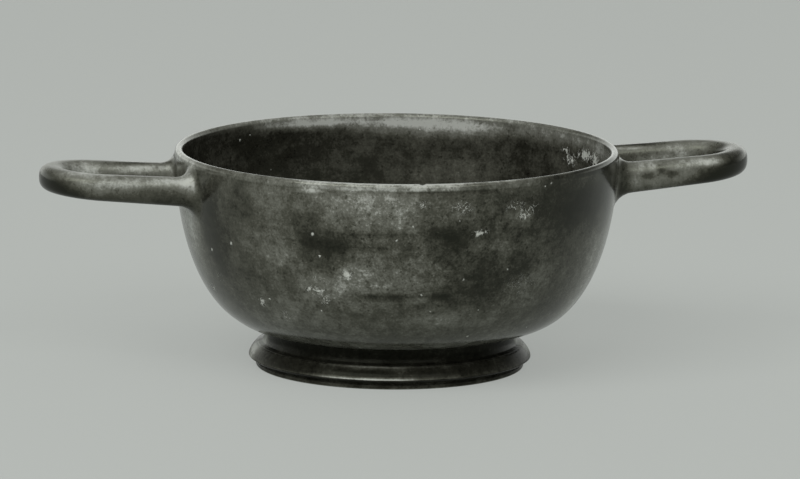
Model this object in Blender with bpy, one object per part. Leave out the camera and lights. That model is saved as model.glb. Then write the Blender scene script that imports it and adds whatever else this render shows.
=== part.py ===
"""A stemless two-handled drinking cup of black-gloss pottery.

Bowl, ring foot and both handles are one fired piece. The cup stands on its foot at
Z = 0, the bowl is turned about the Z axis, and the handles point along -X and +X.
All sizes are in metres.
"""

import math

import bmesh
import bpy
import numpy as np

# Whole cup
HEIGHT = 0.0669
RIM_RADIUS = 0.0675

# Lip
LIP_THICKNESS = 0.0024
LIP_BAND_HEIGHT = 0.0024
LIP_GROOVE_DEPTH = 0.0003
LIP_GROOVE_WIDTH = 0.0009

# Bowl wall, which thickens towards the floor
WALL_THICKNESS = 0.0036
FLOOR_THICKNESS = 0.0046
FLOOR_DIP = 0.0016
THICKEST_WALL_SHARE = 0.5

# Belly of the bowl: how far its curve runs out along the floor and up below the lip
BELLY_SPREAD = 0.72
BELLY_LIFT = 0.45

# Ring foot, in the order of its mouldings from the ground up
FOOT_EDGE_RADIUS = 0.0431
FOOT_SHIFT = -0.0016
RESTING_WIDTH = 0.0062
LEDGE_HEIGHT = 0.0012
LEDGE_INSET = 0.0022
LEDGE_ROUNDING = 0.0004
UNDERCUT_HEIGHT = 0.0021
UNDERCUT_DEPTH = 0.0004
FLANK_HEIGHT = 0.0034
FLANK_INSET = 0.0022
FLANK_BULGE = 0.0003
STEP_HEIGHT = 0.0007
STEP_INSET = 0.0026
STEP_GROOVE_DEPTH = 0.0003
NECK_HEIGHT = 0.0047
NECK_FLARE = 0.0002
NECK_FOOT_FLARE = 0.0005
NECK_HOLLOW = 0.0006

# Recess under the foot
RECESS_TAPER = 0.0028
RECESS_DEPTH = 0.0104
RECESS_FILLET = 0.0012
RECESS_BOSS_HEIGHT = 0.0009
RECESS_BOSS_RADIUS = 0.0110

# Both handles
HANDLE_PROJECTION = 0.0426
HANDLE_RISE = 0.0034
HANDLE_GAP = 0.0200
ARM_WIDTH = 0.0070
ARM_WIDTH_AT_TIP = 0.0078
ARM_SQUARENESS = 2.5

# Left handle, with the drop from the lip's top to its arms' tops
LEFT_DROP = 0.0051
LEFT_HEIGHT_AT_WALL = 0.0088
LEFT_HEIGHT_AT_TIP = 0.0075

# Right handle, which is taller and has its rear arm set on a little higher
RIGHT_DROP = 0.0043
RIGHT_HEIGHT_AT_WALL = 0.0095
RIGHT_HEIGHT_AT_TIP = 0.0079
RIGHT_REAR_LIFT = 0.0008

# Handle roots, which spread over the wall below the lip
ROOT_REACH = 0.0046
ROOT_SIDE_SPREAD = 0.0024
ROOT_DROP = 0.0060
ROOT_TOP_GAP = 0.0018
ROOT_EMBED = 0.0012

# Facets
TURN_STEPS = 64
WALL_STEPS = 14
LIP_STEPS = 6
FLOOR_STEPS = 4
SHIFT_ROWS = 3
BOSS_STEPS = 3
CORNER_STEPS = 3
NECK_STEPS = 5
FINE_STEPS = 400
ROOT_SHARES = (0.1, 0.3, 0.6, 1.0)
ARM_SIDES = 16
BEND_STEPS = 12

GLOSS_COLOUR = (0.018, 0.016, 0.013, 1.0)
GLOSS_ROUGHNESS = 0.28
SHARP_ANGLE = math.radians(34)

# Bulge of a quarter circle, as a share of its radius
QUARTER_BULGE = 1 - math.sqrt(0.5)

LEDGE_RADIUS = FOOT_EDGE_RADIUS - LEDGE_INSET
FLANK_RADIUS = FOOT_EDGE_RADIUS - FLANK_INSET
NECK_RADIUS = FLANK_RADIUS - STEP_INSET
WAIST_RADIUS = NECK_RADIUS + NECK_FLARE
RECESS_MOUTH_RADIUS = LEDGE_RADIUS - RESTING_WIDTH
RECESS_RADIUS = RECESS_MOUTH_RADIUS - RECESS_TAPER

EDGE_HEIGHT = LEDGE_HEIGHT + UNDERCUT_HEIGHT
FLANK_TOP = EDGE_HEIGHT + FLANK_HEIGHT
NECK_BOTTOM = FLANK_TOP + STEP_HEIGHT
WAIST_HEIGHT = NECK_BOTTOM + NECK_HEIGHT

LIP_ROUNDING = LIP_THICKNESS / 2
WALL_TOP = HEIGHT - LIP_ROUNDING
GROOVE_HEIGHT = HEIGHT - LIP_BAND_HEIGHT

ARM_OFFSET = (HANDLE_GAP + ARM_WIDTH) / 2
BEND_X = RIM_RADIUS + HANDLE_PROJECTION - ARM_WIDTH / 2 - ARM_OFFSET


def arc(start, end, bulge, steps):
    """Points after start up to end on a circular arc that bulges to the right of its way."""
    start = np.array(start)
    end = np.array(end)
    chord = end - start
    right = np.array((chord[1], -chord[0])) / np.linalg.norm(chord)
    half_turn = 2 * math.atan(2 * bulge / np.linalg.norm(chord))
    points = []
    for step in range(1, steps + 1):
        share = step / steps
        if abs(half_turn) < 1e-6:
            points.append(tuple(start + chord * share))
            continue
        angle = half_turn * (2 * share - 1)
        along = 0.5 + math.sin(angle) / (2 * math.sin(half_turn))
        out = (math.cos(angle) - math.cos(half_turn)) / (1 - math.cos(half_turn))
        points.append(tuple(start + chord * along + right * bulge * out))
    return points


def belly(shares):
    """Radii and heights of the bowl's outside, from the neck to the lip's rounding."""
    width = RIM_RADIUS - WAIST_RADIUS
    rise = WALL_TOP - WAIST_HEIGHT
    t = np.asarray(shares)[:, None]
    corners = np.array((
        (WAIST_RADIUS, WAIST_HEIGHT),
        (WAIST_RADIUS + BELLY_SPREAD * width, WAIST_HEIGHT),
        (RIM_RADIUS, WALL_TOP - BELLY_LIFT * rise),
        (RIM_RADIUS, WALL_TOP),
    ))
    weights = np.hstack(((1 - t) ** 3, 3 * t * (1 - t) ** 2, 3 * t * t * (1 - t), t ** 3))
    return weights @ corners


FINE_SHARES = np.linspace(0, 1, FINE_STEPS)
FINE_BELLY = belly(FINE_SHARES)


def wall_radius(height):
    """Outer radius of the bowl at a height, without the lip's groove."""
    return float(np.interp(height, FINE_BELLY[:, 1], FINE_BELLY[:, 0]))


def outer_wall():
    """The outside from the neck up to the lip, with the groove under the lip."""
    shares = np.linspace(0, 1, WALL_STEPS + 1)
    groove_half = LIP_GROOVE_WIDTH / 2
    groove_foot = GROOVE_HEIGHT - groove_half
    points = [tuple(point) for point in belly(shares) if point[1] < groove_foot - groove_half]
    points.append((wall_radius(groove_foot), groove_foot))
    points.append((wall_radius(GROOVE_HEIGHT) - LIP_GROOVE_DEPTH, GROOVE_HEIGHT))
    points.append((wall_radius(GROOVE_HEIGHT + groove_half), GROOVE_HEIGHT + groove_half))
    points.append((RIM_RADIUS, WALL_TOP))
    return points


def inner_wall():
    """The inside from the lip down to the edge of the floor, a wall's thickness within."""
    shares = np.linspace(0, 1, WALL_STEPS + 1)
    outside = belly(shares)
    tangents = np.gradient(FINE_BELLY, axis=0)
    thickness = np.interp(
        shares,
        (0, THICKEST_WALL_SHARE, 1),
        (FLOOR_THICKNESS, WALL_THICKNESS, LIP_THICKNESS),
    )
    points = []
    for share, point, thick in zip(shares, outside, thickness):
        tangent = np.array([np.interp(share, FINE_SHARES, tangents[:, axis]) for axis in (0, 1)])
        tangent /= np.linalg.norm(tangent)
        points.append((point[0] - tangent[1] * thick, point[1] + tangent[0] * thick))
    return points[::-1]


def floor(edge):
    """The bowl's floor, which dips gently from its edge to the axis."""
    points = []
    for step in range(1, FLOOR_STEPS + 1):
        share = 1 - step / FLOOR_STEPS
        dip = FLOOR_DIP * (1 - share * share)
        points.append((edge[0] * share, edge[1] - dip))
    return points


def foot_underside():
    """The recess from the axis out to the resting ring, with its low centre boss."""
    points = []
    for step in range(BOSS_STEPS + 1):
        share = step / BOSS_STEPS
        drop = RECESS_BOSS_HEIGHT * (1 + math.cos(math.pi * share)) / 2
        points.append((RECESS_BOSS_RADIUS * share, RECESS_DEPTH - drop))
    points.append((RECESS_RADIUS - RECESS_FILLET, RECESS_DEPTH))
    corner_end = (RECESS_RADIUS, RECESS_DEPTH - RECESS_FILLET)
    points += arc(points[-1], corner_end, -QUARTER_BULGE * RECESS_FILLET, CORNER_STEPS)
    points.append((RECESS_MOUTH_RADIUS, 0.0))
    return points


def foot_mouldings():
    """The outside of the foot from the resting ring up to the waist."""
    groove_radius = LEDGE_RADIUS - UNDERCUT_DEPTH
    points = [(LEDGE_RADIUS - LEDGE_ROUNDING, 0.0)]
    points.append((LEDGE_RADIUS, LEDGE_ROUNDING))
    points.append((LEDGE_RADIUS, LEDGE_HEIGHT - LEDGE_ROUNDING / 2))
    points.append((groove_radius, LEDGE_HEIGHT + LEDGE_ROUNDING / 2))
    points.append((FOOT_EDGE_RADIUS - LEDGE_ROUNDING, EDGE_HEIGHT - LEDGE_ROUNDING))
    points.append((FOOT_EDGE_RADIUS, EDGE_HEIGHT))
    points += arc(points[-1], (FLANK_RADIUS, FLANK_TOP), FLANK_BULGE, CORNER_STEPS)
    step_top = FLANK_TOP + STEP_HEIGHT / 2
    points.append((FLANK_RADIUS - STEP_GROOVE_DEPTH, step_top - STEP_GROOVE_DEPTH / 2))
    points.append((FLANK_RADIUS - 2 * STEP_GROOVE_DEPTH, step_top))
    points.append((NECK_RADIUS + NECK_FOOT_FLARE, NECK_BOTTOM))
    points += arc(points[-1], (WAIST_RADIUS, WAIST_HEIGHT), -NECK_HOLLOW, NECK_STEPS)
    return points


def lip():
    """The half-round top of the lip, from outside to inside."""
    points = []
    for step in range(1, LIP_STEPS):
        angle = math.pi * step / LIP_STEPS
        radius = RIM_RADIUS - LIP_ROUNDING + LIP_ROUNDING * math.cos(angle)
        points.append((radius, WALL_TOP + LIP_ROUNDING * math.sin(angle)))
    return points


def turned_body():
    """Bowl and foot as one closed turned form. The foot sits a little off the bowl's axis."""
    foot = foot_underside() + foot_mouldings()
    wall = outer_wall()[1:]
    inside = inner_wall()
    profile = foot + wall + lip() + inside + floor(inside[-1])
    shifts = [FOOT_SHIFT] * len(foot)
    for row in range(1, len(profile) - len(foot) + 1):
        shifts.append(FOOT_SHIFT * max(0.0, 1 - row / SHIFT_ROWS))

    mesh = bmesh.new()
    rings = []
    for (radius, height), shift in zip(profile, shifts):
        if radius < 1e-9:
            rings.append([mesh.verts.new((shift, 0.0, height))])
            continue
        ring = []
        for step in range(TURN_STEPS):
            angle = 2 * math.pi * step / TURN_STEPS
            x = shift + radius * math.cos(angle)
            ring.append(mesh.verts.new((x, radius * math.sin(angle), height)))
        rings.append(ring)
    for lower, upper in zip(rings, rings[1:]):
        join_rings(mesh, lower, upper)
    return finish_mesh(mesh, "body")


def join_rings(mesh, first, second):
    """Faces between two rings of points, either of which may be a single point."""
    count = max(len(first), len(second))
    for step in range(count):
        after = (step + 1) % count
        if len(first) == 1:
            mesh.faces.new((first[0], second[step], second[after]))
        elif len(second) == 1:
            mesh.faces.new((first[step], second[0], first[after]))
        else:
            mesh.faces.new((first[step], second[step], second[after], first[after]))


def wall_x(across, height, depth):
    """Distance along X to a surface that lies a depth below the outside of the bowl."""
    radius = wall_radius(height) - depth
    return math.sqrt(radius * radius - across * across)


def arm_outline(half_width, top_reach, bottom_reach):
    """A squared oval around an arm's centre, as (outward, upward) offsets."""
    outline = []
    for side in range(ARM_SIDES):
        angle = 2 * math.pi * side / ARM_SIDES
        across = squared(math.cos(angle))
        up = squared(math.sin(angle))
        outline.append((across * half_width, up * (top_reach if up > 0 else bottom_reach)))
    return outline


def squared(value):
    """Pushes a sine or cosine outward, so that a circle becomes a squared oval."""
    return math.copysign(abs(value) ** (2 / ARM_SQUARENESS), value)


class Handle:
    """The measures in which one handle differs from the other."""

    def __init__(self, drop, height_at_wall, height_at_tip, rear_lift):
        self.drop = drop
        self.height_at_wall = height_at_wall
        self.height_at_tip = height_at_tip
        self.rear_lift = rear_lift

    def root_height(self):
        """Height of the middle of the front arm where it meets the wall."""
        return HEIGHT - self.drop - self.height_at_wall / 2

    def lift(self, y, out):
        """Lift towards the rear arm, which fades from the wall (0) to the tip (1)."""
        return self.rear_lift * (y / ARM_OFFSET + 1) / 2 * (1 - out)

    def half_height(self, out):
        """Half the arm's height, out from the wall (0) to the tip (1)."""
        return (self.height_at_wall + (self.height_at_tip - self.height_at_wall) * out) / 2


def root_ring(mesh, handle, side, distance):
    """A ring of an arm's root at a distance from the wall, or inside the wall if negative."""
    lift = handle.lift(side * ARM_OFFSET, 0.0)
    spread = (1 - max(distance, 0.0) / ROOT_REACH) ** 2
    half_height = handle.half_height(0.0)
    outline = arm_outline(
        ARM_WIDTH / 2 + ROOT_SIDE_SPREAD * spread,
        half_height + (handle.drop - lift - ROOT_TOP_GAP) * spread,
        half_height + ROOT_DROP * spread,
    )
    ring = []
    for across, up in outline:
        y = side * (ARM_OFFSET + across)
        z = handle.root_height() + lift + up
        x = wall_x(y, z, max(-distance, 0.0)) + max(distance, 0.0)
        ring.append(mesh.verts.new((x, y, z)))
    return ring


def bend_ring(mesh, handle, angle):
    """A ring of the handle's round end, at an angle from -90 to 90 degrees about its centre."""
    out = (BEND_X + ARM_OFFSET * math.cos(angle) - RIM_RADIUS) / HANDLE_PROJECTION
    lift = handle.lift(ARM_OFFSET * math.sin(angle), out)
    half_height = handle.half_height(out)
    half_width = (ARM_WIDTH + (ARM_WIDTH_AT_TIP - ARM_WIDTH) * math.cos(angle)) / 2
    middle = ARM_OFFSET + ARM_WIDTH / 2 - half_width
    centre_height = handle.root_height() + HANDLE_RISE * out + lift
    ring = []
    for across, up in arm_outline(half_width, half_height, half_height):
        reach = middle + across
        x = BEND_X + reach * math.cos(angle)
        ring.append(mesh.verts.new((x, reach * math.sin(angle), centre_height + up)))
    return ring


def close_end(mesh, ring, side, height):
    """A cap over a ring inside the wall, curved like the wall."""
    y = side * ARM_OFFSET
    centre = mesh.verts.new((wall_x(y, height, ROOT_EMBED), y, height))
    join_rings(mesh, ring, [centre])


def make_handle(name, handle):
    """A handle that leaves the bowl along +X, rounds its end and comes back."""
    mesh = bmesh.new()
    distances = [-ROOT_EMBED] + [ROOT_REACH * share for share in ROOT_SHARES]
    rings = [root_ring(mesh, handle, -1, distance) for distance in distances]
    for step in range(BEND_STEPS + 1):
        rings.append(bend_ring(mesh, handle, math.pi * (step / BEND_STEPS - 0.5)))
    rings += [root_ring(mesh, handle, 1, distance) for distance in reversed(distances)]
    for first, second in zip(rings, rings[1:]):
        join_rings(mesh, first, second)
    close_end(mesh, rings[0], -1, handle.root_height())
    close_end(mesh, rings[-1], 1, handle.root_height())
    return finish_mesh(mesh, name)


def finish_mesh(mesh, name):
    """Turns a bmesh into an object with its faces pointing outward."""
    bmesh.ops.recalc_face_normals(mesh, faces=mesh.faces)
    data = bpy.data.meshes.new(name)
    mesh.to_mesh(data)
    mesh.free()
    thing = bpy.data.objects.new(name, data)
    bpy.context.scene.collection.objects.link(thing)
    return thing


def unite(body, other):
    """Joins another solid to the body, and hides that solid."""
    union = body.modifiers.new("join " + other.name, "BOOLEAN")
    union.operation = "UNION"
    union.solver = "EXACT"
    union.object = other
    other.hide_render = True
    other.display_type = "WIRE"


def gloss_material():
    """Black gloss, fired to a deep brown black."""
    material = bpy.data.materials.new("black gloss")
    material.use_nodes = True
    shader = material.node_tree.nodes["Principled BSDF"]
    shader.inputs["Base Color"].default_value = GLOSS_COLOUR
    shader.inputs["Roughness"].default_value = GLOSS_ROUGHNESS
    shader.inputs["Metallic"].default_value = 0.0
    return material


def clear_scene():
    for thing in list(bpy.data.objects):
        bpy.data.objects.remove(thing)


def build():
    clear_scene()
    cup = turned_body()
    cup.name = "cup"
    left_handle = Handle(LEFT_DROP, LEFT_HEIGHT_AT_WALL, LEFT_HEIGHT_AT_TIP, 0.0)
    right_handle = Handle(
        RIGHT_DROP, RIGHT_HEIGHT_AT_WALL, RIGHT_HEIGHT_AT_TIP, RIGHT_REAR_LIFT
    )
    right = make_handle("right handle", right_handle)
    left = make_handle("left handle", left_handle)
    left.rotation_euler.z = math.pi
    unite(cup, right)
    unite(cup, left)
    cup.data.materials.append(gloss_material())
    cup.data.shade_smooth()
    cup.data.set_sharp_from_angle(angle=SHARP_ANGLE)


build()
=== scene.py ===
"""Scene of a worn black-gloss two-handled cup standing on a pale table.

Bowl, foot and handles were fired as one, so one mesh stands for the cup. Its turned
form is a grid of rows and columns, and both handles grow out of openings left in that
grid. Lengths are in millimetres until the mesh is made.
"""

import math

import bmesh
import bpy
import numpy as np
from mathutils import Matrix, Vector, noise

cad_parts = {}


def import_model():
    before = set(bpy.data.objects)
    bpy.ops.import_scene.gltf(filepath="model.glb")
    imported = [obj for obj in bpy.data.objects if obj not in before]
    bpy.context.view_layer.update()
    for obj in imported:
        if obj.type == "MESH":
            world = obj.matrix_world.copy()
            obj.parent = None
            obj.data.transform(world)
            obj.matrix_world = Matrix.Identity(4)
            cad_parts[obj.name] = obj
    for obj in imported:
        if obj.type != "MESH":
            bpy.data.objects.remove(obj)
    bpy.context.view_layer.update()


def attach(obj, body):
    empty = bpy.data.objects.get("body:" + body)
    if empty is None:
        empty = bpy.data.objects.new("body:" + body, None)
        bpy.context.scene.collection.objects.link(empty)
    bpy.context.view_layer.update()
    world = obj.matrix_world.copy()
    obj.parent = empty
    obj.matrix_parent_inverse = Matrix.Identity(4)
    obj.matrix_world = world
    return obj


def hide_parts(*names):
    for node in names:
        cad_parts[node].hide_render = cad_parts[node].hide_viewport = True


MM = 0.001

# Bowl
HEIGHT = 66.9
RIM_RADIUS = 67.5
LIP_THICKNESS = 2.4
WALL_THICKNESS = 3.6
FLOOR_THICKNESS = 4.6
FLOOR_DIP = 1.6
BELLY_SPREAD = 0.72
BELLY_LIFT = 0.45
GROOVE_HEIGHT = 64.5
GROOVE_DEPTH = 0.22
GROOVE_HALF_WIDTH = 0.42

# Nick in the lip, left of the middle of the front
NICK_COLUMN = 264
NICK_DEPTH = 0.4

# Ring foot
FOOT_SHIFT = -1.6
EDGE_RADIUS = 43.1
LEDGE_RADIUS = 40.9
NECK_RADIUS = 38.3
WAIST_RADIUS = 38.5
LEDGE_HEIGHT = 1.25
EDGE_HEIGHT = 3.3
FLANK_TOP = 6.7
NECK_BOTTOM = 7.4
WAIST_HEIGHT = 12.1
NECK_HOLLOW = 0.6
RESTING_WIDTH = 6.2
RECESS_TAPER = 2.8
RECESS_DEPTH = 10.4
BOSS_HEIGHT = 0.9
BOSS_RADIUS = 11.0

# Handles. The right one was made a little taller, and its rear arm set on higher.
PROJECTION = 42.6
ARM_WIDTH = 7.0
ARM_WIDTH_AT_TIP = 7.8
ARM_OFFSET = 13.5
ARM_SQUARENESS = 2.5
HANDLE_RISE = 3.4
ROOT_REACH = 4.6
ROOT_SPREAD = 2.3
ROOT_FOOT_HEIGHT = 47.9
ROOT_TOP_GAP = 1.3
LEFT_ARM = {"turn": 180, "centre": 57.35, "wall": 8.8, "tip": 7.5, "lift": (0.0, 0.0)}
RIGHT_ARM = {"turn": 0, "centre": 57.85, "wall": 9.5, "tip": 7.9, "lift": (0.8, 0.0)}

# Grid of the turned form
COLUMNS = 360
ROW_STEP = 1.05
ROOT_FIRST_COLUMN = 4
ROOT_LAST_COLUMN = 20
ROOT_FOOT = 44.5

WALL_TOP = HEIGHT - LIP_THICKNESS / 2
BEND_X = RIM_RADIUS + PROJECTION - ARM_WIDTH / 2 - ARM_OFFSET

# Strength of the gloss's reflection, and its roughness where whole
WALL_SHINE = 0.3
WALL_ROUGHNESS = 0.05
FOOT_SHINE = 0.035
FOOT_ROUGHNESS = 0.20
SHINE_TONE = (0.95, 1.0, 0.80, 1.0)

# Wear away from the spots below, from 0 for whole gloss to 1 for bare
WALL_WEAR = 0.44
LIP_WEAR = 0.46
# Painted highlight: how much a thin light line along the top of the lip adds, at the front and
# right.
CREST_HIGHLIGHT = 0.20
FOOT_WEAR = 0.17
LEDGE_WEAR = 0.14
# Painted highlights: the next two brighten thin lines along the foot's widest edge and the top of
# its flank.
EDGE_HIGHLIGHT = 0.80
FLANK_HIGHLIGHT = 0.40
UNDERSIDE_WEAR = 0.6
INSIDE_WEAR = 0.26
HANDLE_WEAR = 0.70

# Sizes of the patterns in the gloss, and how far each moves the wear
BLOTCH_SIZE = 10.0
BLOTCH_WEAR = 0.30
PATCH_SIZE = 5.0
PATCH_WEAR = 0.12
MOTTLE_SIZE = 2.2
MOTTLE_WEAR = 0.66
GRAIN_SIZE = 0.7
GRAIN_WEAR = 0.57
WHEEL_MARK_SIZE = 1.3
WHEEL_MARK_WEAR = 0.16
PIT_SIZE = 1.5
PIT_WEAR = -0.20
SCUFF_SIZE = 1.4
SCUFF_WEAR = 0.15

# Brightness of the gloss at five stages of wear, the wear value also holding painted highlights
# and shade
WEAR_STAGES = ((0.0, 0.0045), (0.25, 0.015), (0.5, 0.052), (0.75, 0.125), (1.0, 0.36))

# Lime: spacing of the fine flecks and of the crusts' branches, darkest and palest tone
FLECK_SPACING = 4.5
BRANCH_SIZE = 2.4
LIME_DARK = 0.24
LIME_PALE = 0.72

# Tone of the gloss where whole, and where rubbed down to the pale level
DARK_TONE = (1.02, 1.0, 0.69)
PALE_TONE = (0.97, 1.0, 0.92)
PALE_LEVEL = 0.23

# Camera, fitted to the photograph's outline of the cup, with lengths in millimetres
# and its shift in pixels of the photograph's width
PHOTO_WIDTH = 800
CAMERA_DISTANCE = 2132.0
CAMERA_RISE = math.radians(10.26)
CAMERA_TURN = math.radians(12.7)
CAMERA_ROLL = math.radians(0.543)
CAMERA_LENS = 314.4
CAMERA_SHIFT = (4.32 / PHOTO_WIDTH, 16.26 / PHOTO_WIDTH)

# Strength of the surroundings on the camera's side and behind the cup
WORLD_FRONT = 0.22
WORLD_BACK = 1.1

# The table is lit a little from below, as on a light table, so that shadows stay faint
TABLE_METRES = 14.0
TABLE_TONE = (0.14, 0.147, 0.14, 1)
TABLE_GLOW = 0.325
GLOW_TONE = (0.955, 1.0, 0.955, 1)

# Lamps as (name, azimuth and elevation in degrees, distance and sizes in metres, watts)
LAMPS = (
    ("key", -32, 40, 2.8, (2.4, 1.3), 62),
    ("fill", 30, 36, 3.0, (1.8, 1.0), 27),
    ("top", 0, 82, 2.6, (2.0, 2.0), 7),
)
LAMP_TARGET = (0, 0, 0.03)

# Soft spots on the turned surfaces, as (azimuth in degrees from the front,
# height, half widths of both, strength). A spot of the lighter lists adds wear, or where marked
# below paints light instead: a highlight, a reflection or lifted shade. A DARK spot takes wear
# away. The spots of the lip run along its top, so their heights do not count.
WALL_WEAR_AND_SHEEN = (
    (-21, 58.0, 13, 6.0, 0.27),
    (-42, 57.0, 11, 9.0, 0.10),
    (-45, 43.2, 6, 3.0, 0.13),
    (-18, 38.0, 12, 6.0, 0.27),
    (-21, 29.0, 5, 1.8, 0.20),
    (27, 32.1, 7, 4.5, 0.14),
    (17, 46.0, 2, 4.0, 0.10),
    (1, 23.8, 15, 2.6, 0.14),
    (-45, 24.0, 20, 8.0, 0.10),
    (-31, 35.0, 9, 5.0, 0.27),
    (-53, 46.0, 6, 5.0, 0.12),
    (21, 55.4, 3.6, 2.4, 0.28),
    # Painted light: lifts the shaded underside of the bowl just above the waist.
    (0, 13.6, 50, 2.0, 0.18),
    (-5, 20.0, 60, 6.0, 0.05),
    (2, 57.0, 6.0, 3.0, 0.14),
    # Painted reflections: this spot and the ones at azimuths 62 and 66 brighten the wall towards
    # its right edge.
    (76, 51.0, 6.5, 10.0, 0.30),
    (62, 37.0, 13, 13.0, 0.34),
    # Painted reflection: brightens the wall at its left edge, beside the left handle's root.
    (-84, 46.0, 7, 12.0, 0.34),
    (66, 21.0, 14, 6.0, 0.24),
    (-24, 63.4, 18, 2.2, 0.14),
    (1, 62.6, 9, 2.4, 0.12),
    (-35, 64.2, 3.4, 0.9, 0.35),
)
WALL_DARK = (
    (-57.5, 57.0, 4.0, 6.0, 0.14),
    (-69.0, 48.0, 5.5, 10.0, 0.32),
    (58.0, 56.0, 10.0, 8.0, 0.14),
    (2.5, 44.5, 5.0, 3.0, 0.18),
    (3.0, 31.0, 4.0, 3.0, 0.12),
    (22.0, 38.0, 6.0, 4.0, 0.12),
    (43.0, 57.0, 8.0, 5.0, 0.14),
    (-36.0, 51.6, 8.5, 6.0, 0.13),
    (-35.2, 48.2, 2.4, 1.8, 0.20),
    (-29.6, 47.2, 2.8, 2.6, 0.22),
    (-30.9, 41.1, 3.2, 2.8, 0.20),
    (-36.7, 55.8, 3.0, 2.2, 0.15),
    (1.5, 51.1, 5.0, 4.6, 0.34),
    (10.1, 36.3, 7.0, 5.6, 0.22),
    (36.0, 57.0, 17.0, 7.5, 0.26),
    (52.0, 52.0, 12.0, 12.0, 0.12),
    (25.0, 46.0, 12.0, 6.0, 0.10),
    (-15.4, 32.2, 8.0, 0.9, 0.40),
    (-0.4, 32.1, 2.6, 1.2, 0.30),
    (-6.0, 28.9, 1.8, 0.6, 0.25),
    (-16.6, 51.4, 11.0, 0.7, 0.14),
    (-18.5, 47.8, 9.0, 0.7, 0.14),
)
LIP_WEAR_AND_SHEEN = (
    (-24, 0, 24, 1, 0.34),
    # Painted highlight: this spot and the next brighten the front of the lip band.
    (-2, 0, 8, 1, 0.20),
    (20, 0, 7, 1, 0.16),
    (-180, 0, 60, 1, 0.34),
    (180, 0, 60, 1, 0.34),
    (56, 0, 27, 1, -0.34),
    (-84, 0, 16, 1, 0.34),
)
FOOT_HIGHLIGHTS = (
    # Painted reflections at the right and left ends of the foot's neck.
    (76, 7.6, 8, 3.6, 0.92),
    (-94, 6.6, 9, 3.6, 0.84),
    # Painted highlights along the foot's widest edge and the top of its flank, at the front.
    (-26, 3.45, 17, 0.30, 0.24),
    (-26, 6.75, 13, 0.26, 0.20),
)
INSIDE_WEAR_AND_HIGHLIGHTS = (
    # Painted highlight: the spots from azimuth 136 to 196 at heights 63.6 to 64.8 make the bright
    # band under the back of the lip; the others add wear.
    (91, 64.0, 8, 4.0, 0.62),
    (151, 49.0, 9, 4.0, 0.16),
    (152, 55.0, 26, 14.0, 0.07),
    (136, 64.0, 9, 2.3, 0.12),
    (163, 64.4, 5, 2.0, 0.22),
    (114, 65.4, 14, 3.4, 0.50),
    (110, 58.0, 12, 6.0, 0.14),
    (157, 63.6, 22, 3.2, 0.46),
    (176, 64.4, 9, 2.2, 0.30),
    (190, 64.6, 7, 1.8, 0.16),
    (156, 60.0, 13, 3.0, 0.08),
    (152, 64.6, 9, 1.8, 0.28),
    (196, 64.8, 14, 1.5, 0.66),
)

# Soft blobs on the handles as (centre, half sizes, strength): wear, and where marked painted
# highlights, light and shade
HANDLE_WEAR_LIGHT_AND_SHADE = (
    ((64, -17, 56), (4.4, 10, 12), -0.42),
    ((71.5, -17, 57.5), (1.8, 5, 4.5), 0.13),
    # Painted shade on the underside of the right front arm.
    ((84, -15, 52.6), (22, 9, 3.4), -0.24),
    ((80, -17, 60.0), (13, 5, 3.6), 0.04),
    # Painted light on the inner face of the right rear arm.
    ((91, 10, 61.0), (12, 5, 3.4), 0.18),
    ((75, 10, 63.0), (6, 5, 0.6), 0.26),
    ((80, 10, 64.3), (10, 6, 0.8), -0.36),
    ((80, 10, 61.3), (7, 5, 1.1), -0.18),
    ((75, -17, 59.1), (2.0, 4, 0.9), -0.30),
    ((79, -17, 60.6), (1.2, 4, 1.1), -0.40),
    ((82.2, -17, 59.4), (1.7, 4, 1.0), -0.50),
    # Painted highlight along the upper front edge of the right front arm.
    ((95, -17, 62.5), (5, 5, 1.3), 0.44),
    ((107, -8, 57.0), (13, 22, 6.5), -0.90),
    # Painted shade on the underside of the right front arm, near its end.
    ((97, -17, 55.5), (9, 6, 4.0), -0.45),
    ((86, 10, 55.5), (4, 5, 2.6), -0.50),
    ((74, 10, 57), (7, 5, 3.6), -0.36),
    ((74, 14, 64.2), (8, 8, 1.2), -0.36),
    # Painted highlight on the upper left front root, and painted shade below it.
    ((-66.5, -16, 60.2), (5, 4, 3.2), 0.14),
    ((-66, -15, 50.5), (7, 8, 4.5), -0.28),
    ((-110.5, -9, 57.0), (8.5, 11, 4.7), -1.1),
    # Painted shade on the underside of the left front arm.
    ((-85, -16, 55.4), (25, 7, 3.1), -0.32),
    # Painted highlight in a band along the left front arm.
    ((-78, -17.4, 61.0), (18, 3, 1.3), 0.18),
    # Painted light on the top of the left front arm.
    ((-88, -12, 64.4), (22, 6, 1.4), 0.20),
    # Painted light on the inner face of the left rear arm, in this blob and the next two.
    ((-88, 11, 62.0), (20, 4, 1.4), 0.08),
    ((-76, 10, 60.7), (11, 4, 1.0), 0.12),
    ((-97, 10, 60.8), (8, 5, 1.8), 0.14),
    ((-76, 10, 62.6), (11, 4, 0.8), -0.46),
    ((-86, 12, 55.5), (22, 6, 3.0), -0.30),
)

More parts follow.
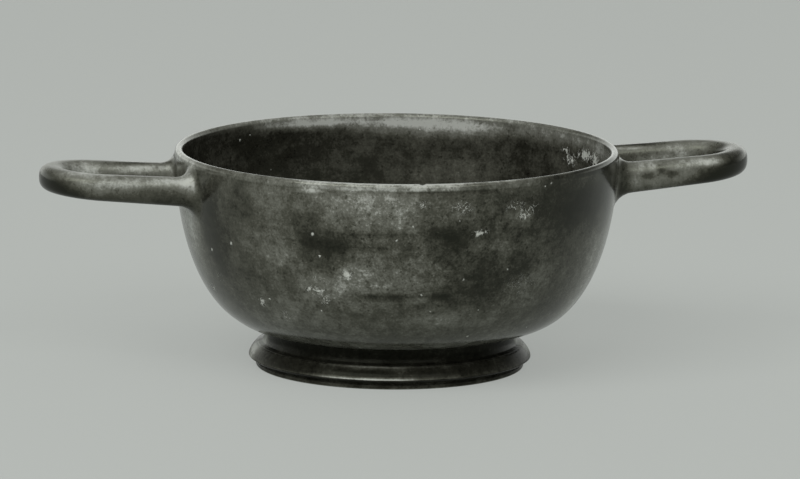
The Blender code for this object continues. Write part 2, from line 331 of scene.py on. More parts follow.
# Small specks of lime as (azimuth, height, radius)
WALL_SPECKS = (
    (-34.5, 50.8, 0.56), (-61.4, 44.5, 0.56), (-71.4, 40.9, 0.46), (-32.9, 44.1, 0.42),
    (-25.8, 38.9, 0.92), (-25.3, 37.4, 0.46), (-36.9, 33.5, 0.60), (-34.0, 33.2, 0.36),
    (-54.2, 27.3, 0.74), (-51.2, 28.5, 0.36), (-34.4, 26.6, 0.30), (-8.3, 54.2, 0.30),
    (-12.5, 50.0, 0.30), (8.7, 51.4, 0.78), (3.8, 55.7, 0.28), (5.7, 37.3, 0.34),
    (-5.5, 32.7, 0.28), (-2.6, 27.3, 0.32), (12.0, 27.0, 0.28), (35.0, 18.6, 0.28),
    (11.7, 17.9, 0.40), (18.5, 39.7, 0.32), (28.4, 64.0, 0.40), (30.4, 64.7, 0.36),
)
INSIDE_SPECKS = (
    (-144.2, 61.6, 0.40), (-148.2, 62.8, 0.30), (160.8, 62.0, 0.30),
    (110.0, 57.6, 0.70), (103.6, 60.4, 0.95), (96.6, 59.6, 0.85), (114.4, 60.4, 0.45),
)

# Crusts of lime as (azimuth, height, half widths, strength)
WALL_CRUST = (
    (-25.6, 39.0, 1.3, 1.7, 0.62),
    (-34.5, 33.2, 3.6, 1.2, 0.50),
    (-33.0, 30.0, 2.5, 2.0, 0.30),
    (-54.7, 27.0, 1.2, 1.3, 0.55),
    (-47.0, 23.3, 2.0, 2.0, 0.30),
    (-71.0, 32.3, 1.6, 1.2, 0.30),
    (-79.8, 27.4, 2.0, 1.6, 0.34),
    (21.7, 55.7, 2.0, 1.4, 0.44),
    (24.5, 58.0, 2.2, 1.8, 0.34),
    (19.0, 58.8, 3.0, 2.2, 0.30),
    (4.2, 59.8, 3.4, 2.2, 0.34),
    (-5.4, 60.8, 1.8, 1.2, 0.36),
    (9.6, 51.8, 2.2, 0.8, 0.55),
    (24.0, 34.0, 6.0, 4.0, 0.22),
)
INSIDE_CRUST = (
    (103.5, 60.6, 3.6, 1.8, 0.62),
    (110.5, 57.8, 3.0, 1.8, 0.52),
    (96.5, 60.2, 2.8, 2.6, 0.56),
    (113.5, 60.4, 1.8, 1.0, 0.44),
)


def belly(shares):
    """Radii and heights of the bowl's outside, from the waist to the lip."""
    width = RIM_RADIUS - WAIST_RADIUS
    rise = WALL_TOP - WAIST_HEIGHT
    t = np.asarray(shares)[:, None]
    corners = np.array((
        (WAIST_RADIUS, WAIST_HEIGHT),
        (WAIST_RADIUS + BELLY_SPREAD * width, WAIST_HEIGHT),
        (RIM_RADIUS, WALL_TOP - BELLY_LIFT * rise),
        (RIM_RADIUS, WALL_TOP),
    ))
    weights = np.hstack(((1 - t) ** 3, 3 * t * (1 - t) ** 2, 3 * t * t * (1 - t), t ** 3))
    return weights @ corners


FINE_SHARES = np.linspace(0, 1, 800)
FINE_BELLY = belly(FINE_SHARES)
FINE_LENGTHS = np.concatenate(
    ([0.0], np.cumsum(np.linalg.norm(np.diff(FINE_BELLY, axis=0), axis=1)))
)


def wall_radius(heights):
    """Outer radius of the bowl at a height, without the groove."""
    return np.interp(heights, FINE_BELLY[:, 1], FINE_BELLY[:, 0])


def resample(points, step):
    """Points at about even steps along a polyline, ends included."""
    points = np.asarray(points, dtype=float)
    lengths = np.concatenate(
        ([0.0], np.cumsum(np.linalg.norm(np.diff(points, axis=0), axis=1)))
    )
    count = max(1, round(lengths[-1] / step))
    marks = np.linspace(0, lengths[-1], count + 1)
    return [
        (float(np.interp(m, lengths, points[:, 0])), float(np.interp(m, lengths, points[:, 1])))
        for m in marks
    ]


def rounded(corners, step):
    """A polyline through (radius, height, rounding) corners, with each corner rounded off."""
    points = [corners[0][:2]]
    for before, corner, after in zip(corners, corners[1:], corners[2:]):
        here = np.array(corner[:2])
        back = np.array(before[:2]) - here
        ahead = np.array(after[:2]) - here
        reach = min(corner[2], 0.45 * np.linalg.norm(back), 0.45 * np.linalg.norm(ahead))
        start = here + back / np.linalg.norm(back) * reach
        end = here + ahead / np.linalg.norm(ahead) * reach
        points += resample((points[-1], tuple(start)), step)[1:]
        for t in (0.25, 0.5, 0.75, 1.0):
            point = (1 - t) ** 2 * start + 2 * t * (1 - t) * here + t * t * end
            points.append((float(point[0]), float(point[1])))
    points += resample((points[-1], corners[-1][:2]), step)[1:]
    return points


def underside_rows():
    """The recess under the foot, from the axis out to its mouth."""
    rows = []
    for share in np.linspace(0, 1, 6):
        drop = BOSS_HEIGHT * (1 + math.cos(math.pi * share)) / 2
        rows.append((BOSS_RADIUS * share, RECESS_DEPTH - drop))
    mouth = LEDGE_RADIUS - RESTING_WIDTH
    corners = [
        (BOSS_RADIUS, RECESS_DEPTH, 0),
        (mouth - RECESS_TAPER, RECESS_DEPTH, 1.6),
        (mouth, 0.0, 0.6),
        (LEDGE_RADIUS - 1.5, 0.0, 0),
    ]
    return rows + rounded(corners, 2.4)[1:]


def moulding_rows():
    """The outside of the foot, from the resting ring up to the waist."""
    corners = [
        (LEDGE_RADIUS - 1.5, 0.0, 0),
        (LEDGE_RADIUS, 0.0, 0.45),
        (LEDGE_RADIUS, LEDGE_HEIGHT - 0.1, 0.15),
        (LEDGE_RADIUS - 0.45, LEDGE_HEIGHT + 0.15, 0.15),
        (EDGE_RADIUS, EDGE_HEIGHT - 0.25, 0.35),
        (EDGE_RADIUS - 0.05, EDGE_HEIGHT + 0.1, 0.25),
        (EDGE_RADIUS - 0.75, (EDGE_HEIGHT + FLANK_TOP) / 2, 1.2),
        (LEDGE_RADIUS, FLANK_TOP, 0.25),
        (LEDGE_RADIUS - 0.55, FLANK_TOP + 0.12, 0.12),
        (LEDGE_RADIUS - 0.6, FLANK_TOP + 0.32, 0.12),
        (NECK_RADIUS + 0.5, NECK_BOTTOM, 0.35),
        (NECK_RADIUS - NECK_HOLLOW + 0.5, NECK_BOTTOM + 1.6, 0.9),
        (NECK_RADIUS - NECK_HOLLOW + 0.4, WAIST_HEIGHT - 1.7, 0.9),
        (WAIST_RADIUS, WAIST_HEIGHT, 0),
    ]
    return rounded(corners, 0.8)[1:-1]


def belly_rows():
    """The outside from the waist to the foot of the handle roots."""
    end = float(np.interp(ROOT_FOOT, FINE_BELLY[:, 1], FINE_LENGTHS))
    marks = np.linspace(0, end, round(end / ROW_STEP) + 1)
    radii = np.interp(marks, FINE_LENGTHS, FINE_BELLY[:, 0])
    heights = np.interp(marks, FINE_LENGTHS, FINE_BELLY[:, 1])
    return list(zip(radii, heights))


def shoulder_rows():
    """The outside beside the handle roots, with close rows at the groove under the lip."""
    groove = GROOVE_HEIGHT + GROOVE_HALF_WIDTH * np.array((-1.2, -0.6, 0, 0.6, 1.2))
    plain = np.linspace(ROOT_FOOT, groove[0], 20)[1:-1]
    heights = np.concatenate((plain, groove, [(groove[-1] + WALL_TOP) / 2, WALL_TOP]))
    return [(float(wall_radius(h)), float(h)) for h in heights]


def lip_rows():
    """The half-round top of the lip, from outside to inside."""
    half = LIP_THICKNESS / 2
    rows = []
    for angle in np.linspace(0, math.pi, 13)[1:]:
        radius = RIM_RADIUS - half + half * math.cos(angle)
        rows.append((radius, WALL_TOP + half * math.sin(angle)))
    return rows


def inside_rows():
    """The inside from the lip to the axis, a wall's thickness within the outside."""
    thickness = np.interp(
        FINE_SHARES, (0, 0.5, 1), (FLOOR_THICKNESS, WALL_THICKNESS, LIP_THICKNESS)
    )
    tangents = np.gradient(FINE_BELLY, axis=0)
    tangents /= np.linalg.norm(tangents, axis=1)[:, None]
    offset = np.column_stack((-tangents[:, 1], tangents[:, 0])) * thickness[:, None]
    wall = (FINE_BELLY + offset)[::-1]
    edge = wall[-1]
    floor = []
    for share in np.linspace(1, 0, 24)[1:]:
        floor.append((edge[0] * share, edge[1] - FLOOR_DIP * (1 - share * share)))
    return resample(np.vstack((wall, floor[:8])), 1.3)[1:-1] + floor[8:]


def smooth_step(value, low, high):
    """0 below low, 1 above high and smooth between."""
    t = np.clip((np.asarray(value, dtype=float) - low) / (high - low), 0, 1)
    return t * t * (3 - 2 * t)


def groove_share(angles):
    """How deep the groove under the lip is round the bowl, deepest at the front."""
    azimuth = (np.degrees(angles) + 270) % 360 - 180
    return 0.05 + 0.95 * np.exp(-(((azimuth + 1) / 17) ** 4))


def root_nearness(angles):
    """1 at the columns of the handle roots, fading to 0 a few degrees to either side."""
    fold = np.abs((angles + math.pi / 2) % math.pi - math.pi / 2)
    return 1 - smooth_step(fold, math.radians(21), math.radians(28))


def turned_grid():
    """The vertices of bowl and foot by row and column, and the rows beside the roots."""
    foot = underside_rows() + moulding_rows()
    lower = belly_rows()
    shoulder = shoulder_rows()
    profile = foot + lower + shoulder + lip_rows() + inside_rows()
    first_root_row = len(foot) + len(lower) - 1
    last_root_row = first_root_row + len(shoulder)
    fade_end = float(FINE_LENGTHS[int(len(FINE_SHARES) * 3 / 14)])

    angles = np.linspace(0, 2 * math.pi, COLUMNS, endpoint=False)
    near = root_nearness(angles)
    deepness = groove_share(angles)
    rows = []
    for index, (radius, height) in enumerate(profile):
        if index < len(foot):
            shift = FOOT_SHIFT
        elif index < len(foot) + len(lower):
            along = np.interp(height, FINE_BELLY[:, 1], FINE_LENGTHS)
            shift = FOOT_SHIFT * float(1 - smooth_step(along, 0, fade_end))
        else:
            shift = 0.0
        radii = np.full(COLUMNS, radius)
        if first_root_row < index < last_root_row:
            profile_depth = math.exp(-(((height - GROOVE_HEIGHT) / GROOVE_HALF_WIDTH) ** 2))
            radii = radii - GROOVE_DEPTH * profile_depth * (1 - near) * deepness
        heights = np.full(COLUMNS, height)
        if height > WALL_TOP:
            heights[NICK_COLUMN] -= NICK_DEPTH * (height - WALL_TOP) / (HEIGHT - WALL_TOP)
        rows.append(np.column_stack((
            shift + radii * np.cos(angles),
            radii * np.sin(angles),
            heights,
        )))
    return rows, first_root_row, last_root_row


def oval_reach(angle, half_width, up, down):
    """Distance from the middle of a squared oval to its edge, in one direction."""
    tall = up if math.sin(angle) > 0 else down
    total = abs(math.cos(angle) / half_width) ** ARM_SQUARENESS
    total += abs(math.sin(angle) / tall) ** ARM_SQUARENESS
    return total ** (-1 / ARM_SQUARENESS)


class Mesh:
    """Vertices and faces collected by number."""

    def __init__(self):
        self.points = []
        self.faces = []

    def add(self, points):
        """Adds vertices and returns their numbers."""
        start = len(self.points)
        self.points.extend(tuple(float(c) for c in p) for p in points)
        return list(range(start, len(self.points)))

    def bridge(self, first, second):
        """Adds a closed band of faces between two loops of vertices."""
        count = len(first)
        for i in range(count):
            j = (i + 1) % count
            self.faces.append((first[i], first[j], second[j], second[i]))


def root_loop(low, high):
    """(column, row) places round the opening of a front root, anticlockwise from outside."""
    first = -ROOT_LAST_COLUMN
    last = -ROOT_FIRST_COLUMN
    loop = [(column, low) for column in range(first, last)]
    loop += [(last, row) for row in range(low, high)]
    loop += [(column, high) for column in range(last, first, -1)]
    loop += [(first, row) for row in range(high, low, -1)]
    return loop


def make_turned(mesh):
    """Adds bowl and foot with openings for the roots, and returns the grid of numbers."""
    rows, low, high = turned_grid()
    grid = []
    for points in rows:
        if np.ptp(points[:, 0]) < 1e-6:
            grid.append(mesh.add([points[0]]))
        else:
            grid.append(mesh.add(points))
    opening = set()
    for turn in (0, COLUMNS // 2):
        for column in range(ROOT_FIRST_COLUMN, ROOT_LAST_COLUMN):
            opening.add(column + turn)
            opening.add((turn - column - 1) % COLUMNS)
    for index, (lower, upper) in enumerate(zip(grid, grid[1:])):
        for c in range(COLUMNS):
            d = (c + 1) % COLUMNS
            if low <= index < high and c in opening:
                continue
            if len(lower) == 1:
                mesh.faces.append((lower[0], upper[d], upper[c]))
            elif len(upper) == 1:
                mesh.faces.append((lower[c], lower[d], upper[0]))
            else:
                mesh.faces.append((lower[c], lower[d], upper[d], upper[c]))
    return grid, low, high


def arm_measures(arm, y, x):
    """Centre height and half height of an arm, at a point of the handle's middle line."""
    out = (x - RIM_RADIUS) / PROJECTION
    rear = (y / ARM_OFFSET + 1) / 2
    lift = rear * (arm["lift"][0] + (arm["lift"][1] - arm["lift"][0]) * out)
    half = (arm["wall"] + (arm["tip"] - arm["wall"]) * out) / 2
    return arm["centre"] + HANDLE_RISE * out + lift, half


def arm_ring(arm, x, side, angles):
    """A section of a straight arm at x."""
    centre, half = arm_measures(arm, side * ARM_OFFSET, x)
    ring = []
    for angle in angles:
        reach = oval_reach(angle, ARM_WIDTH / 2, half, half)
        y = side * ARM_OFFSET + reach * math.cos(angle)
        ring.append((x, y, centre + reach * math.sin(angle)))
    return ring


def bend_ring(arm, turn, angles):
    """A section of the round end, at a turn from -90 to 90 degrees."""
    middle_x = BEND_X + ARM_OFFSET * math.cos(turn)
    centre, half = arm_measures(arm, ARM_OFFSET * math.sin(turn), middle_x)
    half_width = (ARM_WIDTH + (ARM_WIDTH_AT_TIP - ARM_WIDTH) * math.cos(turn)) / 2
    middle = ARM_OFFSET + ARM_WIDTH / 2 - half_width
    ring = []
    for angle in angles:
        reach = oval_reach(angle, half_width, half, half)
        distance = middle - reach * math.cos(angle)
        x = BEND_X + distance * math.cos(turn)
        ring.append((x, distance * math.sin(turn), centre + reach * math.sin(angle)))
    return ring


def on_wall(y, z):
    """The point of the bowl's outside on the +X half, at y and z."""
    radius = float(wall_radius(z))
    return (math.sqrt(radius * radius - y * y), y, z)


def root_rings(arm, loop_points, side):
    """Rings from the opening in the wall to the start of the arm, and their directions."""
    centre, _ = arm_measures(arm, side * ARM_OFFSET, RIM_RADIUS)
    middle = (side * ARM_OFFSET, centre)
    angles = [math.atan2(p[2] - middle[1], p[1] - middle[0]) for p in loop_points]
    top = HEIGHT - ROOT_TOP_GAP - middle[1]
    bottom = middle[1] - ROOT_FOOT_HEIGHT
    outline = []
    for angle in angles:
        reach = oval_reach(angle, ARM_WIDTH / 2 + ROOT_SPREAD, top, bottom)
        y = middle[0] + reach * math.cos(angle)
        z = middle[1] + reach * math.sin(angle)
        outline.append((y, z))
    rings = []
    for share in (0.35, 0.7, 1.0):
        ring = []
        for (_, loop_y, loop_z), (y, z) in zip(loop_points, outline):
            ring.append(on_wall(loop_y + (y - loop_y) * share, loop_z + (z - loop_z) * share))
        rings.append(ring)
    foot = np.array(rings[-1])
    arm_x = RIM_RADIUS - 1.4 + ROOT_REACH
    end = np.array(arm_ring(arm, arm_x, side, angles))
    inward = end - foot
    inward[:, 0] = 0
    foot_handle = foot + inward * 0.62 + np.array((0.5, 0, 0))
    end_handle = end - np.array((2.6, 0, 0))
    for t in (0.12, 0.26, 0.42, 0.6, 0.8, 1.0):
        ring = (1 - t) ** 3 * foot + 3 * t * (1 - t) ** 2 * foot_handle
        ring = ring + 3 * t * t * (1 - t) * end_handle + t ** 3 * end
        rings.append([tuple(p) for p in ring])
    return rings, angles, arm_x


def make_handle(mesh, grid, low, high, arm):
    """Adds one handle, from its front root round to its rear root."""
    turn = arm["turn"] * COLUMNS // 360
    flip = -1 if turn else 1

    def placed(ring):
        return [(flip * x, flip * y, z) for x, y, z in ring]

    places = root_loop(low, high)
    loops = {}
    roots = {}
    for side in (-1, 1):
        loop = [grid[row][(turn - side * column) % COLUMNS] for column, row in places]
        loops[side] = loop
        roots[side] = root_rings(arm, placed([mesh.points[i] for i in loop]), side)

    front_rings, front, arm_x = roots[-1]
    rear_rings, rear, _ = roots[1]
    # The rear section mirrors the front one, so directions pass from one to the other.
    change = []
    for a, b in zip(front, rear):
        change.append((math.pi - b - a + math.pi) % (2 * math.pi) - math.pi)
    rings = list(front_rings)
    for x in np.linspace(arm_x, BEND_X, 15)[1:]:
        rings.append(arm_ring(arm, x, -1, front))
    for share in np.linspace(0, 1, 29)[1:]:
        angles = [a + c * share for a, c in zip(front, change)]
        rings.append(bend_ring(arm, math.pi * (share - 0.5), angles))
    for x in np.linspace(BEND_X, arm_x, 15)[1:-1]:
        rings.append(arm_ring(arm, x, 1, rear))
    rings += rear_rings[::-1]
    numbers = [loops[-1]] + [mesh.add(placed(ring)) for ring in rings] + [loops[1]]
    for first, second in zip(numbers, numbers[1:]):
        mesh.bridge(first, second)


def surface_noise(points, size, seed):
    """Smooth noise from -1 to 1 at each point, with features of about the given size."""
    shift = Vector((seed * 17.3, seed * 5.1, seed * 9.7))
    return np.array([noise.noise(Vector(p) / size + shift) for p in points])


def spot_sum(first, second, spots):
    """The summed strength of soft spots at coordinates such as azimuth and height."""
    total = np.zeros(len(first))
    for centre_a, centre_b, half_a, half_b, strength in spots:
        away = ((first - centre_a) / half_a) ** 2 + ((second - centre_b) / half_b) ** 2
        total += strength * np.exp(-0.7 * away ** 1.5)
    return total


def blob_sum(points, blobs):
    """The summed strength of soft blobs, each with a centre and three half sizes."""
    total = np.zeros(len(points))
    for centre, half, strength in blobs:
        away = (((points - np.array(centre)) / np.array(half)) ** 2).sum(axis=1)
        total += strength * np.exp(-0.7 * away ** 1.5)
    return total


def azimuths(points):
    """Degrees round the bowl from the front, positive towards the right handle."""
    return np.degrees(np.arctan2(points[:, 0], -points[:, 1]))


def off_wall(points):
    """0 for points on the bowl's outside, 1 for those standing a little off it."""
    out = np.hypot(points[:, 0], points[:, 1]) - wall_radius(points[:, 2])
    return smooth_step(out, 0.05, 1.4)


def wear_and_light_of(points, inside, handle):
    """How far the gloss has worn at each point, from 0 for whole gloss to 1 for bare, with painted
    highlights, reflections and shade added in on top.
    """
    azimuth = azimuths(points)
    height = points[:, 2]
    wall = WALL_WEAR + spot_sum(azimuth, height, WALL_WEAR_AND_SHEEN)
    wall -= spot_sum(azimuth, height, WALL_DARK)
    wall += 0.10 * surface_noise(points, 16.0, 1)
    hidden = smooth_step(np.abs(azimuth), 80, 105)
    wall += hidden * 0.22 * surface_noise(points, 22.0, 2)

    lip = LIP_WEAR + spot_sum(azimuth, height * 0, LIP_WEAR_AND_SHEEN)
    lip += 0.10 * surface_noise(points, 5.0, 3)
    band = smooth_step(height, GROOVE_HEIGHT, GROOVE_HEIGHT + 0.5)
    groove = np.exp(-(((height - GROOVE_HEIGHT) / GROOVE_HALF_WIDTH) ** 2))
    # Painted highlight: a thin light line along the top of the lip, from the front round to the
    # right.
    crest_highlight_band = smooth_step(height, HEIGHT - 0.45, HEIGHT - 0.1)
    crest_highlight_front = smooth_step(azimuth, -60, -20) * smooth_step(-azimuth, -96, -80)
    lip = lip + CREST_HIGHLIGHT * crest_highlight_band * crest_highlight_front
    # Painted shade: the groove under the lip is darkened, most at the front.
    groove_shade_front = np.exp(-(((azimuth + 1) / 14) ** 4))
    wall = wall + (lip - wall) * band - 0.12 * groove * groove_shade_front

    foot = FOOT_WEAR + 0.05 * surface_noise(points, 9.0, 4)
    foot += LEDGE_WEAR * smooth_step(-height, -LEDGE_HEIGHT - 1.2, -LEDGE_HEIGHT)
    # Painted highlights: thin light lines along the foot's widest edge and the top of its flank,
    # strongest at the front, and the foot's painted reflections.
    front = 0.22 + 0.78 * np.exp(-(((azimuth + 20) / 22) ** 2))
    edge_highlight_band = np.exp(-(((height - EDGE_HEIGHT - 0.1) / 0.26) ** 2))
    flank_highlight_band = np.exp(-(((height - FLANK_TOP) / 0.22) ** 2))
    foot += EDGE_HIGHLIGHT * front * edge_highlight_band
    foot += FLANK_HIGHLIGHT * front * flank_highlight_band
    foot += spot_sum(azimuth, height, FOOT_HIGHLIGHTS)
    foot = np.where(height < 0.3, UNDERSIDE_WEAR, foot)
    wall = foot + (wall - foot) * smooth_step(height, WAIST_HEIGHT - 0.6, WAIST_HEIGHT + 0.6)

    # The inside spots add wear and paint the highlight band under the back of the lip.
    bowl = INSIDE_WEAR + spot_sum(azimuth % 360, height, INSIDE_WEAR_AND_HIGHLIGHTS)
    bowl += 0.08 * surface_noise(points, 12.0, 5)
    bowl = bowl + (lip - bowl) * smooth_step(height, HEIGHT - 1.6, HEIGHT - 0.5)

    arms = HANDLE_WEAR + 0.10 * surface_noise(points, 6.0, 6)
    # The blobs add and take wear, and paint highlights, light and shade on the arms.
    arms += blob_sum(points, HANDLE_WEAR_LIGHT_AND_SHADE)
    wall = wall + (arms - wall) * off_wall(points) * handle
    return np.where(inside, bowl, wall)


def mottling_of(points, inside, handle):
    """How strongly the fine mottling shows, most on the rubbed middle of the front."""
    across = (azimuths(points) + 2) / 42
    up = (points[:, 2] - 46) / 19
    front = 0.62 + 0.38 * np.exp(-(across ** 4) - up ** 4)
    return np.where(handle, 0.52, np.where(inside, 0.60, front))


def crust_of(points, inside, handle):
    """How thickly lime has crusted at each point."""
    azimuth = azimuths(points)
    outer = spot_sum(azimuth, points[:, 2], WALL_CRUST)
    inner = spot_sum(azimuth % 360, points[:, 2], INSIDE_CRUST)
    return np.where(handle, 0.0, np.where(inside, inner, outer))


def set_values(data, name, values):
    """Stores one number for each vertex, for the material to read."""
    attribute = data.attributes.new(name, "FLOAT", "POINT")
    attribute.data.foreach_set("value", np.asarray(values, dtype=np.float32))


def build_cup():
    """The cup as one closed mesh object, in metres."""
    mesh = Mesh()
    grid, low, high = make_turned(mesh)
    turned_count = len(mesh.points)
    inside_start = grid[high + 8][0]
    for arm in (RIGHT_ARM, LEFT_ARM):
        make_handle(mesh, grid, low, high, arm)
    points = np.array(mesh.points)
    numbers = np.arange(len(points))
    handle = numbers >= turned_count
    inside = (numbers >= inside_start) & ~handle

    data = bpy.data.meshes.new("worn_cup")
    data.from_pydata([tuple(p) for p in points * MM], [], mesh.faces)
    work = bmesh.new()
    work.from_mesh(data)
    bmesh.ops.recalc_face_normals(work, faces=work.faces)
    work.to_mesh(data)
    work.free()
    set_values(data, "wear_and_light", wear_and_light_of(points, inside, handle))
    set_values(data, "crust", crust_of(points, inside, handle))
    set_values(data, "mottled", mottling_of(points, inside, handle))
    set_values(data, "turned", 1 - off_wall(points) * handle)
    for polygon in data.polygons:
        middle = polygon.center / MM
        on_foot = middle.z < WAIST_HEIGHT and middle.xy.length > LEDGE_RADIUS / 2
        polygon.material_index = int(on_foot)
    data.shade_smooth()
    cup = bpy.data.objects.new("worn_cup", data)
    bpy.context.scene.collection.objects.link(cup)
    return cup


class Nodes:
    """Short calls for laying out a material's nodes."""

    def __init__(self, tree):
        self.tree = tree

    def node(self, kind, inputs, **settings):
        """A new node, with each input linked or set to a value."""
        made = self.tree.nodes.new(kind)
        for name, value in settings.items():
            setattr(made, name, value)
        for key, value in inputs.items():
            if isinstance(value, bpy.types.NodeSocket):
                self.tree.links.new(value, made.inputs[key])
            else:
                made.inputs[key].default_value = value
        return made

    def math(self, operation, *values, clamp=False):
        inputs = dict(enumerate(values))
        return self.node("ShaderNodeMath", inputs, operation=operation, use_clamp=clamp).outputs[0]

    def vector(self, operation, *values, output=0):
        inputs = dict(enumerate(values))
        return self.node("ShaderNodeVectorMath", inputs, operation=operation).outputs[output]

    def noise(self, place, size, detail=2.0, roughness=0.5, output=0):
        """Noise with features of about the given size, in the unit of the place."""
        inputs = {"Vector": place, "Scale": 1 / size, "Detail": detail, "Roughness": roughness}
        return self.node("ShaderNodeTexNoise", inputs).outputs[output]

    def around_zero(self, value, amount):
        """A noise value moved from round 0.5 to round zero, times an amount."""
        return self.math("MULTIPLY_ADD", value, amount, -0.5 * amount)

    def between(self, value, low, high, to_low=0.0, to_high=1.0):
        """A smooth step of value from low to high."""
        inputs = {0: value, 1: low, 2: high, 3: to_low, 4: to_high}
        made = self.node("ShaderNodeMapRange", inputs, interpolation_type="SMOOTHSTEP")
        return made.outputs[0]

    def mix(self, share, first, second):
        """A colour between two others."""
        made = self.tree.nodes.new("ShaderNodeMix")
        made.data_type = "RGBA"
        for key, value in ((0, share), (6, first), (7, second)):
            if isinstance(value, bpy.types.NodeSocket):
                self.tree.links.new(value, made.inputs[key])
            else:
                made.inputs[key].default_value = value
        return made.outputs[2]


def olive(level):
    """A grey of the gloss, a little brown where it is dark and nearly neutral where pale."""
    share = min(1.0, math.sqrt(level / PALE_LEVEL))
    tone = [dark + (pale - dark) * share for dark, pale in zip(DARK_TONE, PALE_TONE)]
    return tuple(level * part for part in tone) + (1.0,)


def speck_places():
    """Centre and radius of each named speck of lime, in millimetres."""
    places = []
    for azimuth, height, radius in WALL_SPECKS:
        turn = math.radians(azimuth)
        out = float(wall_radius(height))
        places.append(((out * math.sin(turn), -out * math.cos(turn), height), radius))
    for azimuth, height, radius in INSIDE_SPECKS:
        turn = math.radians(azimuth)
        out = float(wall_radius(height)) - WALL_THICKNESS + 0.9
        places.append(((out * math.sin(turn), -out * math.cos(turn), height), radius))
    return places


def gloss_material(name, shine, least_rough):
    """Worn black gloss: dark and shiny where whole, dull grey where rubbed, with lime specks, and
    lighter or darker where the wear attribute holds painted highlights and shade.
    """
    material = bpy.data.materials.new(name)
    material.use_nodes = True
    tree = material.node_tree
    shader = tree.nodes["Principled BSDF"]
    n = Nodes(tree)
    place = n.node("ShaderNodeTexCoord", {}).outputs["Object"]
    place = n.vector("MULTIPLY", place, (1000.0, 1000.0, 1000.0))
    wear_and_light = n.node("ShaderNodeAttribute", {}, attribute_name="wear_and_light").outputs["Fac"]
    turned = n.node("ShaderNodeAttribute", {}, attribute_name="turned").outputs["Fac"]
    crust = n.node("ShaderNodeAttribute", {}, attribute_name="crust").outputs["Fac"]
    mottled = n.node("ShaderNodeAttribute", {}, attribute_name="mottled").outputs["Fac"]

    blotch = n.noise(place, BLOTCH_SIZE, 3.0, 0.6)
    patch = n.between(n.noise(place, PATCH_SIZE, 5.0, 0.68), 0.44, 0.58)
    mottle = n.noise(place, MOTTLE_SIZE, 5.0, 0.72)
    grain = n.noise(place, GRAIN_SIZE, 2.0, 0.6)
    stretched = n.vector("MULTIPLY", place, (0.05, 0.05, 1.0))
    streak = n.noise(stretched, WHEEL_MARK_SIZE, 3.0, 0.6)
    streak = n.math("MULTIPLY", n.around_zero(streak, WHEEL_MARK_WEAR), turned)

    fine = n.math("ADD", n.around_zero(patch, PATCH_WEAR), n.around_zero(mottle, MOTTLE_WEAR))
    fine = n.math("ADD", fine, n.around_zero(grain, GRAIN_WEAR))
    pits = n.between(n.noise(place, PIT_SIZE, 3.0, 0.6), 0.60, 0.67)
    flattened = n.vector("MULTIPLY", place, (0.8, 0.8, 1.7))
    scuffs = n.between(n.noise(flattened, SCUFF_SIZE, 4.0, 0.75), 0.58, 0.68)
    fine = n.math("MULTIPLY_ADD", pits, PIT_WEAR, fine)
    fine = n.math("MULTIPLY_ADD", scuffs, SCUFF_WEAR, fine)
    # The wear attribute also holds painted highlights and shade, so these reach the colour and the
    # roughness.
    worn = n.math("ADD", wear_and_light, n.around_zero(blotch, BLOTCH_WEAR))
    worn = n.math("MULTIPLY_ADD", fine, mottled, worn)
    worn = n.math("ADD", worn, streak, clamp=True)

    ramp = n.node("ShaderNodeValToRGB", {"Fac": worn})
    elements = ramp.color_ramp.elements
    for _ in range(len(WEAR_STAGES) - 2):
        elements.new(0.5)
    for element, (position, level) in zip(elements, WEAR_STAGES):
        element.position = position
        element.color = olive(level)

    warp = n.noise(place, 1.0, 2.0, output=1)
    warp = n.vector("MULTIPLY_ADD", warp, (1.2, 1.2, 1.2), (-0.6, -0.6, -0.6))
    ragged = n.vector("ADD", place, warp)
    lime = 0.0
    for centre, radius in speck_places():
        away = n.vector("DISTANCE", ragged, centre, output=1)
        lime = n.math("MAXIMUM", lime, n.between(away, radius * 1.3, radius * 0.4))
    ridge = n.math("ABSOLUTE", n.around_zero(n.noise(ragged, BRANCH_SIZE, 3.0, 0.6), 1.0))
    branch = n.between(n.math("MULTIPLY_ADD", ridge, -11.0, crust), 0.04, 0.24)
    web = n.noise(ragged, 1.0, 3.0, 0.7)
    crusted = n.between(n.math("ADD", web, crust), 0.94, 1.12)
    crusted = n.math("MAXIMUM", branch, crusted)
    lime = n.math("MAXIMUM", lime, crusted)
    cells = n.node("ShaderNodeTexVoronoi", {"Vector": place, "Scale": 1 / FLECK_SPACING})
    chance = n.node("ShaderNodeSeparateColor", {"Color": cells.outputs["Color"]}).outputs[0]
    size = n.math("MULTIPLY_ADD", chance, 0.5, -0.44)
    fleck = n.between(n.math("SUBTRACT", size, cells.outputs["Distance"]), -0.02, 0.03)
    fleck = n.math("MULTIPLY", fleck, 0.35)
    lime = n.math("MAXIMUM", lime, fleck)
    lime_tone = n.mix(grain, olive(LIME_DARK), olive(LIME_PALE))
    colour = n.mix(n.math("MULTIPLY", lime, 0.85), ramp.outputs["Color"], lime_tone)
    tree.links.new(colour, shader.inputs["Base Color"])
    shader.inputs["Specular Tint"].default_value = SHINE_TONE
    shader.inputs["Specular IOR Level"].default_value = shine

    rough_share = n.math("MULTIPLY_ADD", turned, -0.26, 0.42)
    rough = n.math("MULTIPLY_ADD", worn, rough_share, least_rough)
    rough = n.math("MULTIPLY_ADD", lime, 0.4, rough)
    tree.links.new(rough, shader.inputs["Roughness"])

    relief = n.math("MULTIPLY", mottle, 0.045)
    relief = n.math("MULTIPLY_ADD", grain, 0.015, relief)
    relief = n.math("MULTIPLY_ADD", streak, 0.03, relief)
    relief = n.math("MULTIPLY_ADD", lime, 0.15, relief)
    bump = n.node("ShaderNodeBump", {"Height": relief, "Distance": MM, "Strength": 1.0})
    tree.links.new(bump.outputs["Normal"], shader.inputs["Normal"])
    return material


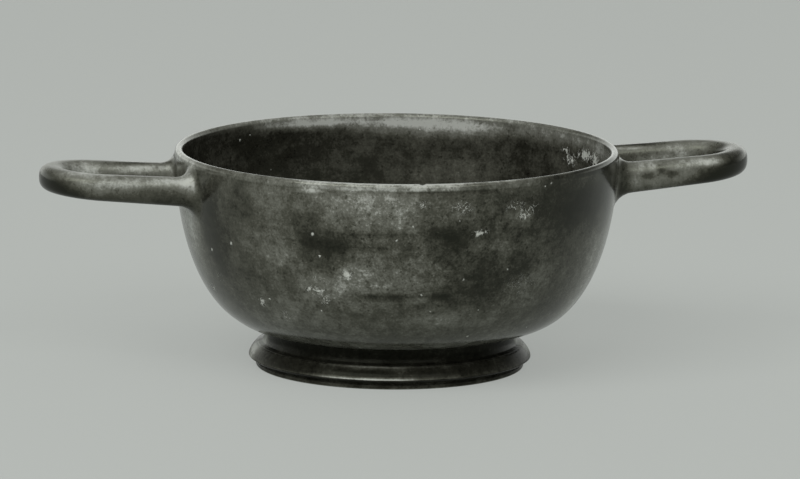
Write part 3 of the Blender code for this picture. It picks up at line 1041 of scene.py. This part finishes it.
def table_material():
    """A pale matt surface that glows a little."""
    material = bpy.data.materials.new("pale_table")
    material.use_nodes = True
    shader = material.node_tree.nodes["Principled BSDF"]
    shader.inputs["Base Color"].default_value = TABLE_TONE
    shader.inputs["Roughness"].default_value = 0.9
    shader.inputs["Specular IOR Level"].default_value = 0.1
    shader.inputs["Emission Color"].default_value = GLOW_TONE
    shader.inputs["Emission Strength"].default_value = TABLE_GLOW
    return material


def make_table():
    """The table's top, at the height of the cup's resting ring."""
    bpy.ops.mesh.primitive_plane_add(size=TABLE_METRES, location=(0, 0, 0))
    table = bpy.context.object
    table.name = "table"
    table.data.materials.append(table_material())


def area_light(name, location, target, size, power):
    """A soft rectangular lamp that faces a target."""
    data = bpy.data.lights.new(name, "AREA")
    data.shape = "RECTANGLE"
    data.size, data.size_y = size
    data.energy = power
    light = bpy.data.objects.new(name, data)
    light.location = location
    way = Vector(target) - Vector(location)
    light.rotation_euler = way.to_track_quat("-Z", "Y").to_euler()
    bpy.context.scene.collection.objects.link(light)


def toward(azimuth, elevation, distance):
    """A point at an angle right of the camera's direction and above the table, in metres."""
    turn = math.radians(azimuth) - CAMERA_TURN
    rise = math.radians(elevation)
    return (
        distance * math.cos(rise) * math.sin(turn),
        -distance * math.cos(rise) * math.cos(turn),
        distance * math.sin(rise),
    )


def make_world():
    """Soft studio surroundings, paler behind the cup than on the camera's side."""
    world = bpy.data.worlds.new("studio")
    bpy.context.scene.world = world
    world.use_nodes = True
    n = Nodes(world.node_tree)
    back = world.node_tree.nodes["Background"]
    back.inputs["Color"].default_value = (0.97, 1.0, 0.96, 1)
    way = n.node("ShaderNodeTexCoord", {}).outputs["Generated"]
    split = n.node("ShaderNodeSeparateXYZ", {0: way}).outputs
    behind = n.between(split["Y"], -0.2, 0.6)
    low = n.between(split["Z"], 0.5, 0.2)
    strength = n.math("MULTIPLY_ADD", n.math("MULTIPLY", behind, low), WORLD_BACK, WORLD_FRONT)
    world.node_tree.links.new(strength, back.inputs["Strength"])


def make_lights():
    """Large soft lamps in front of the cup and above it."""
    for name, azimuth, elevation, distance, size, power in LAMPS:
        area_light(name, toward(azimuth, elevation, distance), LAMP_TARGET, size, power)


def make_camera():
    """The camera, at the photograph's viewing angle."""
    centre = Vector((0, 0, HEIGHT / 2))
    back = Vector((
        -math.sin(CAMERA_TURN) * math.cos(CAMERA_RISE),
        -math.cos(CAMERA_TURN) * math.cos(CAMERA_RISE),
        math.sin(CAMERA_RISE),
    ))
    data = bpy.data.cameras.new("camera")
    data.lens = CAMERA_LENS
    data.sensor_width = 36
    data.shift_x, data.shift_y = CAMERA_SHIFT
    data.clip_start = 0.1
    data.clip_end = 100
    camera = bpy.data.objects.new("camera", data)
    turn = (-back).to_track_quat("-Z", "Y").to_matrix().to_4x4()
    camera.matrix_world = (
        Matrix.Translation((centre + back * CAMERA_DISTANCE) * MM)
        @ turn
        @ Matrix.Rotation(CAMERA_ROLL, 4, "Z")
    )
    bpy.context.scene.collection.objects.link(camera)
    bpy.context.scene.camera = camera


def main():
    """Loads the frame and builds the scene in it."""
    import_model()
    bpy.context.scene.view_settings.view_transform = "Standard"
    cup = build_cup()
    cup.data.materials.append(gloss_material("worn_gloss", WALL_SHINE, WALL_ROUGHNESS))
    cup.data.materials.append(gloss_material("foot_gloss", FOOT_SHINE, FOOT_ROUGHNESS))
    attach(cup, "root")
    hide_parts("cup")
    make_table()
    make_world()
    make_lights()
    make_camera()


main()
